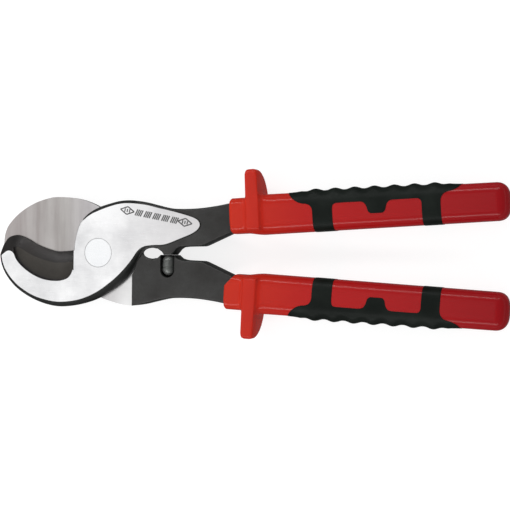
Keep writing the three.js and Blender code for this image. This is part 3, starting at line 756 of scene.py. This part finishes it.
def lozenge(u):
    """A lozenge round a place in the row, with three short strokes in it."""
    corners = [(u - LOZENGE_LONG, 0), (u, -LOZENGE_HIGH), (u + LOZENGE_LONG, 0), (u, LOZENGE_HIGH)]
    sides = [stroke(a, b, LOZENGE_WIDTH) for a, b in zip(corners, corners[1:] + corners[:1])]
    return sides + [stroke((u + x, -0.8), (u + x, 0.8), LOZENGE_WIDTH) for x in (-1.2, 0, 1.2)]


def etched_mark():
    """A plain row of slanted hatching between two lozenges."""
    bars = hatching()
    for middle in LOZENGE_AT:
        bars += lozenge(middle)
    verts, faces = [], []
    for bar in bars:
        n = len(verts)
        verts += [(x, y, z) for z in (MARK_LOW, MARK_HIGH) for x, y in bar]
        faces += [(n + 3, n + 2, n + 1, n), (n + 4, n + 5, n + 6, n + 7)]
        faces += [(n + i, n + (i + 1) % 4, n + 4 + (i + 1) % 4, n + 4 + i) for i in range(4)]
    mark = make("etched_mark", verts, faces)
    mark.data.transform(Matrix.Translation(MARK_START) @ Matrix.Rotation(MARK_TURN, 4, "Z"))
    mark.data.materials.append(MARK_GREY)
    settle(mark, FRONT, None)


# ---- Pivot and stop pin -----------------------------------------------------------------------------
def piece_levels(node):
    """Bottom and top of a CAD piece above the lap plane."""
    low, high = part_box(node)
    return low[2] / MM - MID_Z, high[2] / MM - MID_Z


def build_pivot():
    """The stepped bolt, its head flush with the ground face, and what is fitted with it."""
    step, chamfer, edge = -2.3, 0.3, 0.12
    bolt = turned("pivot_bolt_steel", [
        (THREAD_R - chamfer, -FACE_Z), (THREAD_R, -FACE_Z + chamfer), (THREAD_R, step), (SHANK_R, step),
        (SHANK_R, FACE_Z - HEAD_T), (HEAD_R, FACE_Z - HEAD_T), (HEAD_R, FACE_Z - edge),
        (HEAD_R - edge, FACE_Z)])
    tidy(bolt)
    bolt.data.materials.append(STEEL_HEAD)
    settle(bolt, REAR, "pivot_bolt")
    build_washer()
    build_nut()
    build_stop_pin()


def build_washer():
    """A dished ring with rounded edges."""
    bottom, top = piece_levels("spring_washer")
    washer = hoop("spring_washer_steel", [
        (WASHER_R - 0.1, bottom + 0.2), (WASHER_R, bottom + 0.35), (WASHER_R - 0.15, top),
        (WASHER_BORE_R + 0.1, top - 0.12), (WASHER_BORE_R, top - 0.2), (WASHER_BORE_R + 0.1, bottom)])
    tidy(washer)
    washer.data.materials.append(STEEL_LAP)
    settle(washer, REAR, "spring_washer")


def build_nut():
    """A hexagon nut chamfered on both faces."""
    low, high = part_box("pivot_nut")
    radius = (high[0] - low[0]) / 2 / MM
    bottom, top = piece_levels("pivot_nut")
    small, large, drop = radius * 0.84, radius * 1.01, 0.55
    bore_mouth, bore_r = 3.9, THREAD_R + 0.12
    nut = prism("pivot_nut_steel", arc((0, 0), radius, 0, math.pi * 5 / 3, 5), bottom, top)
    chamfer = [(small, bottom), (large, bottom + drop), (large, top - drop), (small, top)]
    cut(nut, turned("nut_chamfer", chamfer), "INTERSECT")
    hole = [(bore_mouth, bottom - 1), (bore_mouth, bottom), (bore_r, bottom + 0.6), (bore_r, FAR / 3)]
    cut(nut, turned("nut_bore", hole))
    tidy(nut)
    nut.data.materials.append(FORGED)
    settle(nut, REAR, "pivot_nut")


def build_stop_pin():
    """A domed pin lying along Y in its pocket, with a shallow ring turned near its end."""
    half = STOP_LENGTH / 2
    dome = arc((0, STOP_R - half), STOP_R, -math.pi / 2, 0, 10)
    profile = dome + [(STOP_R - depth, z) for depth, z in STOP_RING]
    profile += [(r, -z) for r, z in reversed(dome)]
    pin = turned("stop_pin_steel", profile, 64)
    pin.data.transform(Matrix.Rotation(-math.pi / 2, 4, "X"))
    pin.data.transform(Matrix.Translation((STOP_X, STOP_TOP + half, STOP_Z)))
    tidy(pin)
    pin.data.materials.append(PIN_BLACK)
    settle(pin, REAR, "stop_pin", True)


# ---- Handles -------------------------------------------------------------------------------------------
def ray_radius(loop, angle):
    """Distance from the centre to a closed loop in a direction."""
    d = Vector((math.cos(angle), math.sin(angle)))
    for a, b in zip(loop, loop[1:] + loop[:1]):
        side = Vector((b[0] - a[0], b[1] - a[1]))
        cross = d.x * side.y - d.y * side.x
        if abs(cross) < 1e-9:
            continue
        t = (a[0] * side.y - a[1] * side.x) / cross
        s = (a[0] * d.y - a[1] * d.x) / cross
        if t > 0 and -1e-6 <= s <= 1 + 1e-6:
            return t
    return 0.0


def guard_loop(near):
    """Outline of the guard in the V-Z plane: square at the tool's front and bowed at its back.

    It is drawn for the front half; near is below 0 for the rear half, which is turned over.
    """
    depth, corner, back_corner = GUARD_DEPTH, GUARD_CORNER, GUARD_BACK_CORNER
    bow_v, bow_z = GUARD_V - GUARD_BOW_V, depth + GUARD_BOW_Z
    quarter = arc((0, 0), 1, -math.pi / 2, 0, 30)
    loop = [(GUARD_BOW_V + bow_v * v, GUARD_BOW_Z + bow_z * z) for v, z in quarter]
    loop += arc((GUARD_V - corner, depth - corner), corner, 0, math.pi / 2, 10)
    loop += arc((GUARD_LOW_V + corner, depth - corner), corner, math.pi / 2, math.pi, 10)
    loop += arc((GUARD_LOW_V + back_corner, back_corner - depth), back_corner, math.pi, math.pi * 1.5, 10)
    return loop if near > 0 else [(v, -z) for v, z in reversed(loop)]


def even_angles(loop, count):
    """Angles from the centre to points spaced evenly along a loop."""
    closed = loop + loop[:1]
    lengths = [math.dist(a, b) for a, b in zip(closed, closed[1:])]
    step = sum(lengths) / count
    angles, travelled, k = [], 0.0, 0
    for i in range(count):
        while travelled + lengths[k] < i * step:
            travelled += lengths[k]
            k += 1
        t = (i * step - travelled) / lengths[k]
        v, z = (mix(a, b, t) for a, b in zip(closed[k], closed[k + 1]))
        angles.append(math.atan2(z, v))
    return sorted(angles)


RING_POINTS = 168
# Share of the guard in the section by place along it: rounded at its outer edge, and with
# fillets down to the sleeve on its faces.
FLANGE_EDGE = [(-0.6, 0.0), (-0.2, 0.06), (0.0, 0.2), (0.05, 0.89), (0.3, 0.94), (0.65, 0.97), (1.2, 0.99),
               (1.8, 1.0), (4.3, 1.0), (4.9, 0.99), (5.45, 0.97), (5.8, 0.94), (6.05, 0.89), (6.1, 0.2),
               (6.4, 0.06), (7.0, 0.0)]
FLANGE_FACE = [(-2.8, 0.0), (-1.6, 0.1), (-0.8, 0.36), (-0.3, 0.72), (0.0, 0.94), (0.3, 1.0), (5.7, 1.0),
               (6.05, 0.95), (6.4, 0.72), (7.0, 0.36), (8.0, 0.12), (9.6, 0.0)]


def body_radius(u, angle, inset, mouth):
    """Radius of the plain sleeve at a place along the handle."""
    front = smooth((u + 1.0) / 9.0)
    back = mix(BODY_FRONT, BODY_BACK, max(u, 0) / END_U)
    half = mix(COLLAR_HALF, back, front)
    depth = mix(COLLAR_DEPTH, BODY_DEPTH, front)
    end = max(0.0, (u - (END_U - END_ROUND)) / END_ROUND)
    shrink = max(1e-4, 1 - end ** END_POWER) ** (1 / END_POWER)
    start = max(0.0, 1 - (u - mouth) / MOUTH_RUN)
    half = half * shrink - inset - MOUTH_ROUND * start ** 2
    depth = depth * shrink - inset - MOUTH_ROUND * start ** 2
    c, s = abs(math.cos(angle)), abs(math.sin(angle))
    power = mix(COLLAR_SQUARE, BODY_SQUARE, front)
    return ((c / max(half, MIN_HALF)) ** power + (s / max(depth, MIN_HALF)) ** power) ** (-1 / power)


def wave_lift(u, angle):
    """How far the finger waves stand out of the sleeve."""
    last = WAVE_FIRST_U + WAVE_PITCH * (WAVE_COUNT - 1)
    reach, ease, run_in = WAVE_PITCH * 0.9, 4, 6.0
    crest = (0.5 + 0.5 * math.cos(2 * math.pi * (u - WAVE_FIRST_U) / WAVE_PITCH)) ** 1.25
    ends = smooth((u - WAVE_FIRST_U + reach) / ease) * smooth((last + reach - u) / ease)
    across = abs(math.sin(angle))
    width = smooth((0.80 - across) / 0.34) if math.cos(angle) > 0 else 0.0
    low = WAVE_LOW * smooth((u - GRIP_START_U - 0.2) / run_in) * smooth((GRIP_END_U - 0.4 - u) / run_in)
    return width * (low + (WAVE_HIGH - WAVE_LOW) * crest * ends)


def handle_rings(at, angles, inset, guard=None, guard_u=0.0, waves=False, mouth=COLLAR_U):
    """Sections of the handle; guard gives the guard's radius in each direction."""
    rings = []
    for u in at:
        ring = []
        for k, angle in enumerate(angles):
            r = body_radius(u, angle, inset, mouth)
            if guard:
                face = smooth((abs(math.sin(angle)) - 0.45) / 0.35) if math.cos(angle) > 0 else 1.0
                share = mix(table(FLANGE_EDGE, u - guard_u), table(FLANGE_FACE, u - guard_u), face)
                r = max(r, mix(r, guard[k], share))
            if waves:
                r += wave_lift(u, angle)
            ring.append((u, r * math.cos(angle), r * math.sin(angle)))
        rings.append(ring)
    return rings


def stations(start, stop, step):
    """Even places from start up to, but without, stop."""
    count = max(1, round((stop - start) / step))
    return [mix(start, stop, k / count) for k in range(count)]


def sleeve_stations(mouth, guard_u):
    """Places of the sleeve's sections, close together at its mouth, its guard and its end."""
    at = stations(mouth, mouth + 1.2, 0.15) + stations(mouth + 1.2, guard_u - 3.4, 0.6)
    at += stations(guard_u - 3.4, guard_u - 0.3, 0.2)
    at += [guard_u + d for d in (-0.3, -0.15, 0, 0.02, 0.05, 0.1, 0.18, 0.3, 0.45, 0.65, 0.9)]
    at += stations(guard_u + 1.4, guard_u + 5.2, 0.7)
    at += [guard_u + d for d in (5.2, 5.45, 5.65, 5.8, 5.92, 6.0, 6.05, 6.08, 6.1, 6.15, 6.3)]
    at += stations(guard_u + 6.5, guard_u + 10.4, 0.2) + stations(guard_u + 10.4, END_U - END_ROUND, 1.2)
    at += [END_U - END_ROUND * (1 - math.sin(math.pi / 2 * k / 20)) for k in range(21)]
    return at


def bend(a, b, c):
    """A rounded corner from a to c that heads for b."""
    out = []
    for t in (k / 7 for k in range(8)):
        out.append(tuple((1 - t) ** 2 * p + 2 * t * (1 - t) * q + t * t * r for p, q, r in zip(a, b, c)))
    return out


def grip_loop(grow):
    """Plan outline of the soft grip, anticlockwise: first band, tongue, second band, outer edge.

    The corners between these are single points, so they stand as numbers here.
    """
    reach, outer = FAR / 2, 15.0
    strip, tongue = STRIP_V - grow, TONGUE_V - grow
    a, b = BAND_ONE[0] - grow, BAND_ONE[1] + grow
    c, d = BAND_TWO[0] - grow, BAND_TWO[1] + grow
    first, last = GRIP_START_U - grow, GRIP_END_U + grow
    loop = [(first, outer), *bend((first, SHOULDER_V), (first + 3.6, 3.9 - grow), (29.6 - grow, strip + 0.4))]
    loop += bend((29.6 - grow, strip + 0.4), (a, strip), (a, strip - 3.6)) + [(a, -reach), (b, -reach)]
    loop += bend((b, strip - 2.4), (b, strip), (b + 2.4, strip))
    loop += bend((55.4 - grow, strip), (58 - grow, strip), (58.8 - grow, tongue + 2.4))
    loop += bend((58.8 - grow, tongue + 2.4), (59.2 - grow, tongue), (61 - grow, tongue))
    loop += bend((65.2 + grow, tongue), (67 + grow, tongue), (67.4 + grow, tongue + 2.4))
    loop += bend((67.4 + grow, tongue + 2.4), (68 + grow, strip), (70.6 + grow, strip))
    loop += bend((c - 2.5, strip), (c, strip), (c, strip - 2.5)) + [(c, -reach), (d, -reach)]
    loop += bend((d, strip - 1.6), (d + 0.4, 5.4 - grow), (97 + grow, 5.9 - grow))
    loop += bend((97 + grow, 5.9 - grow), (100.6 + grow, 6.6 - grow), (last, SHOULDER_V))
    return clean(loop + [(last, outer)])


CORE_AT = stations(14, 112, 1.2) + [112.0]
GRIP_AT = stations(19, 104, 0.45) + [104.0]
SEAM = 0.07                                        # play between the soft grip and its recess
# Plan outline of what is cut from the long collar's corner.
CORNER_CUT = [(-12.5, 0.5), (-30, 0.5), (-30, -30), (-3.0, -30), (-3.0, -10.7)]


def build_sleeve(side, angles, guard, mouth, guard_u):
    """The red shell with its collar and guard, the recess for the grip and the room inside."""
    rings = handle_rings(sleeve_stations(mouth, guard_u), angles, 0, guard, guard_u, mouth=mouth)
    sleeve = lofted(f"{side}_sleeve_shell", rings)
    if mouth < COLLAR_U:
        cut(sleeve, prism("corner_cut", CORNER_CUT, -FAR / 2, FAR / 2))
    recess = prism("recess", grip_loop(SEAM), -FAR / 2, FAR / 2)
    cut(recess, lofted("recess_core", handle_rings(CORE_AT, angles, GRIP_DEPTH + SEAM)))
    cut(sleeve, recess)
    return cut(sleeve, sleeve_cavity())


def build_grip(side, angles):
    """The black skin with its finger waves, in the plan outline of the grip."""
    grip = lofted(f"{side}_grip_skin", handle_rings(GRIP_AT, angles, -GRIP_PROUD, waves=True))
    cut(grip, prism("zone", grip_loop(0), -FAR / 2, FAR / 2), "INTERSECT")
    return cut(grip, lofted("grip_core", handle_rings(CORE_AT, angles, GRIP_DEPTH)))


def build_handle(side, body, over, mouth, guard_u):
    """Sleeve and soft grip of one handle."""
    outline = guard_loop(-1 if over else 1)
    angles = even_angles(outline, RING_POINTS)
    guard = [ray_radius(outline, a) for a in angles]
    sleeve = build_sleeve(side, angles, guard, mouth, guard_u)
    grip = build_grip(side, angles)
    for obj, node, slot, material in ((sleeve, f"{side}_sleeve", "red_plastic", RED),
                                      (grip, f"{side}_soft_grip", "black_rubber", SOFT)):
        tidy(obj, 38)
        obj.data.materials.append(material)
        obj.data.transform(in_handle())
        settle(obj, body, node, over)
        soften(obj, 0.22, 3, 50)


def layer_ring(u, half):
    """Section of the room for the inner layer: a rectangle with rounded corners."""
    ring, count = [], 32
    for k in range(count):
        a = 2 * math.pi * (k + 0.5) / count
        v = math.copysign(half - LAYER_ROUND, math.cos(a)) + LAYER_ROUND * math.cos(a)
        z = math.copysign(LAYER_DEPTH - LAYER_ROUND, math.sin(a)) + LAYER_ROUND * math.sin(a)
        ring.append((u, v, z))
    return ring


def sleeve_cavity():
    """The mouth for the tang and the room for the inner layer."""
    start, end = COLLAR_U - 9, -5.99
    room = [(start, -8.3), (end, -7.7), (end, 7.4), (start, 7.4)]
    mouth = prism("mouth", room, -TANG_Z - GAP, TANG_Z + GAP)
    rings = [layer_ring(LAYER_START, LAYER_FRONT), layer_ring(LAYER_END, LAYER_BACK)]
    return cut(mouth, lofted("layer_room", rings), "UNION")


# ---- Inner layers keep their solids ------------------------------------------------------------------
def dress_inner_layers():
    """The hidden layers only get their colour."""
    for node in ("upper_inner_layer", "lower_inner_layer"):
        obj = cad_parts[node]
        obj.data.materials.clear()
        obj.data.materials.append(YELLOW)


# ---- Floor, light and camera ---------------------------------------------------------------------------
FLOOR_HALF, FLOOR_DROP = 3.0, 0.0002               # metres


def build_stage():
    """A plain pale floor that glows a little and isn't mirrored in the glossy pieces."""
    low, size = CAD_LOW[2] - FLOOR_DROP, FLOOR_HALF
    corners = [(-size, -size, low), (size, -size, low), (size, size, low), (-size, size, low)]
    floor = make("floor", corners, [(0, 1, 2, 3)])
    m = Nodes("pale_floor")
    tone = m.ramp(m.noise(6, 2, 0.5), [(0.3, (0.24, 0.24, 0.24)), (0.7, (0.26, 0.26, 0.26))])
    m.link(tone, m.shader.inputs["Base Color"])
    m.set(Roughness=0.9, Emission_Color=(1, 1, 1, 1), Emission_Strength=0.82)
    floor.data.materials.append(m.material)
    floor.visible_glossy = False


def area(name, place, target, size, radiance):
    """A rectangular lamp; its power follows from how bright its face should look."""
    data = bpy.data.lights.new(name, "AREA")
    data.shape = "RECTANGLE"
    data.size, data.size_y = size
    data.energy = radiance * math.pi * size[0] * size[1]
    light = bpy.data.objects.new(name, data)
    light.location = place
    light.rotation_euler = (Vector(target) - Vector(place)).to_track_quat("-Z", "Y").to_euler()
    bpy.context.collection.objects.link(light)


# Brightness of the room from straight down (0) through the horizon (0.5) to straight up (1).
ROOM_TONES = [(0.0, 0.12), (0.47, 0.12), (0.48, 1.0), (0.56, 1.0), (0.6, 0.35), (1.0, 0.35)]
# Lamps, metres: each strip stands as high as it stands off to its side.
PANEL_PLACE, PANEL_TARGET, PANEL_SIZE, PANEL_RADIANCE = (-0.28, 0.0, 0.95), (0.02, 0.0, 0.0), (0.9, 0.9), 0.8
STRIP_X, STRIP_OFF, STRIP_TARGET, STRIP_SIZE, STRIP_RADIANCE = -0.1, 0.62, (0.08, 0, 0), (1.3, 0.1), 11.0


def build_light():
    """A dim broad panel for the flat steel to mirror, and a bright strip along each side."""
    world = bpy.data.worlds.new("soft_room")
    world.use_nodes = True
    tree = world.node_tree
    split = tree.nodes.new("ShaderNodeSeparateXYZ")
    tree.links.new(tree.nodes.new("ShaderNodeTexCoord").outputs["Generated"], split.inputs[0])
    height = tree.nodes.new("ShaderNodeMapRange")
    height.inputs["From Min"].default_value = -1
    tree.links.new(split.outputs["Z"], height.inputs["Value"])
    room = tree.nodes.new("ShaderNodeValToRGB")
    fill_ramp(room.color_ramp, [(at, (tone, tone, tone)) for at, tone in ROOM_TONES])
    tree.links.new(height.outputs["Result"], room.inputs["Fac"])
    tree.links.new(room.outputs["Color"], tree.nodes["Background"].inputs["Color"])
    bpy.context.scene.world = world
    area("panel", PANEL_PLACE, PANEL_TARGET, PANEL_SIZE, PANEL_RADIANCE)
    for side in (-1, 1):
        area("strip", (STRIP_X, side * STRIP_OFF, STRIP_OFF), STRIP_TARGET, STRIP_SIZE, STRIP_RADIANCE)


CAMERA_YAW = math.radians(16.15)
CAMERA_ROLL = math.radians(0.55)
CAMERA_HALF_VIEW = math.radians(10.85)
CAMERA_X, CAMERA_Y, CAMERA_ABOVE = 0.2532, -0.0004, 0.6    # metres, the last above the ground face
SENSOR = 36


def build_camera():
    """The camera in front of the tool, turned a little towards the handle ends."""
    data = bpy.data.cameras.new("camera")
    data.sensor_width = SENSOR
    data.lens = SENSOR / 2 / math.tan(CAMERA_HALF_VIEW)
    camera = bpy.data.objects.new("camera", data)
    turn = Matrix.Rotation(CAMERA_YAW, 4, "Y") @ Matrix.Rotation(CAMERA_ROLL, 4, "Z")
    place = Vector((CAMERA_X, CAMERA_Y, (MID_Z + FACE_Z) * MM + CAMERA_ABOVE))
    camera.matrix_world = Matrix.Translation(place) @ turn
    bpy.context.collection.objects.link(camera)
    bpy.context.scene.camera = camera


build_camera()
build_stage()
build_light()
build_halves()
etched_mark()
build_pivot()
build_handle("upper", FRONT, False, COLLAR_U, UPPER_GUARD_U)
build_handle("lower", REAR, True, LONG_COLLAR_U, LOWER_GUARD_U)
dress_inner_layers()
bpy.context.scene.view_settings.view_transform = "Standard"
